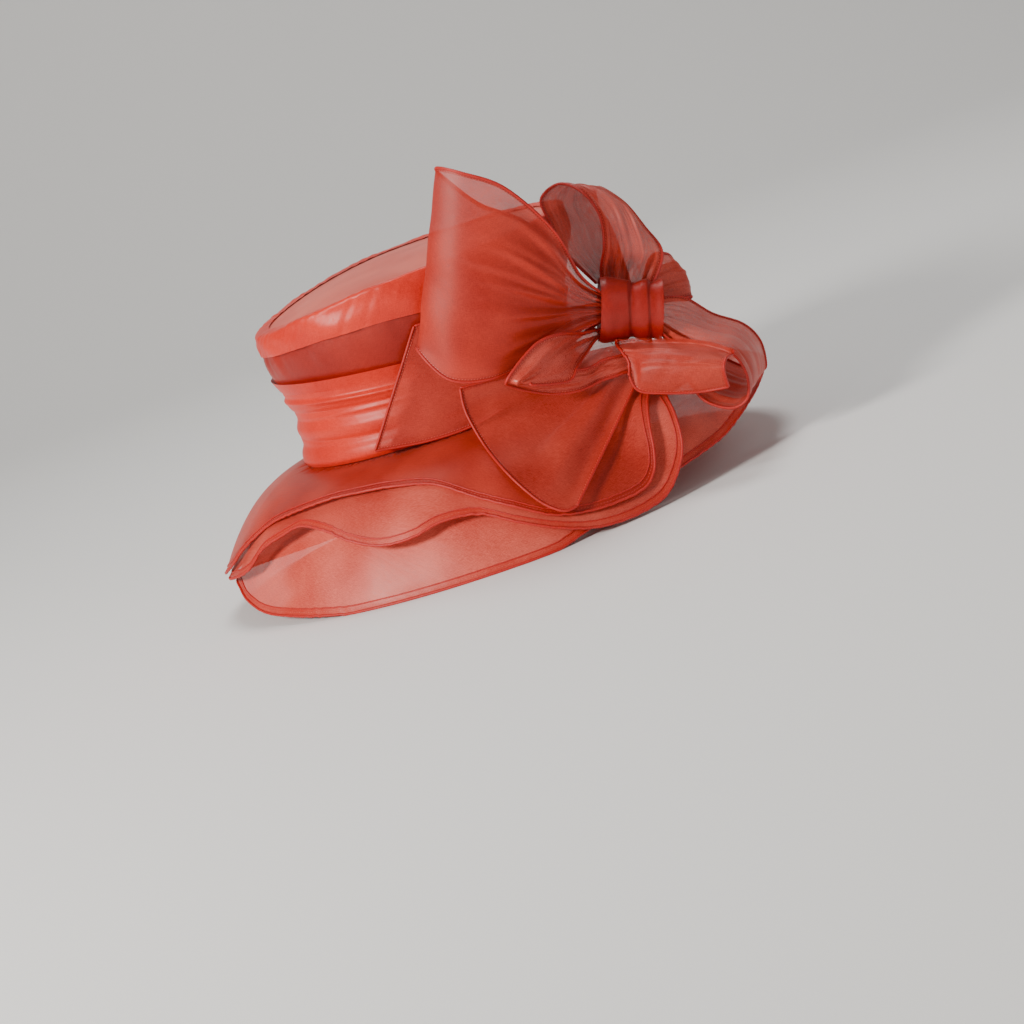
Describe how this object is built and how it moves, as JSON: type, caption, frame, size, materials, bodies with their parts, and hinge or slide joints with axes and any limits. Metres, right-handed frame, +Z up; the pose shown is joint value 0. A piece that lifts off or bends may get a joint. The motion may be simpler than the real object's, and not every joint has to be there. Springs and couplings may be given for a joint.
{
  "type": "dress hat",
  "caption": "Wide drooping dress hat of sheer organza with a hollow crown, a draped band, a layered ruffled brim and a large bow at its front right.",
  "frame": {"origin": "centre of the brim's outline, on the plane that the brim's rim rests on", "axes": "+Z up out of the crown, -Y towards the wearer's front, -X towards the wearer's right, where the bow is"},
  "size_m": [0.3383, 0.4119, 0.2581],
  "materials": {
    "organza_crown": "sheer satin organza",
    "organza_tip": "sheer satin organza",
    "organza_brim": "sheer satin organza",
    "organza_ruffle": "sheer satin organza",
    "organza_bow": "sheer satin organza"
  },
  "bodies": {
    "root": {"crown_side": "organza_crown", "tip_binding": "organza_crown", "hat_band": "organza_crown", "crown_tip": "organza_tip", "brim_base": "organza_brim", "ruffle_middle": "organza_ruffle", "ruffle_top": "organza_ruffle", "bow_knot": "organza_bow", "loop_left": "organza_bow", "loop_upper": "organza_bow", "loop_far": "organza_bow", "loop_right": "organza_bow", "loop_lower": "organza_bow", "tail_side": "organza_bow", "tail_front": "organza_bow", "tail_rolled": "organza_bow"}
  },
  "joints": []
}
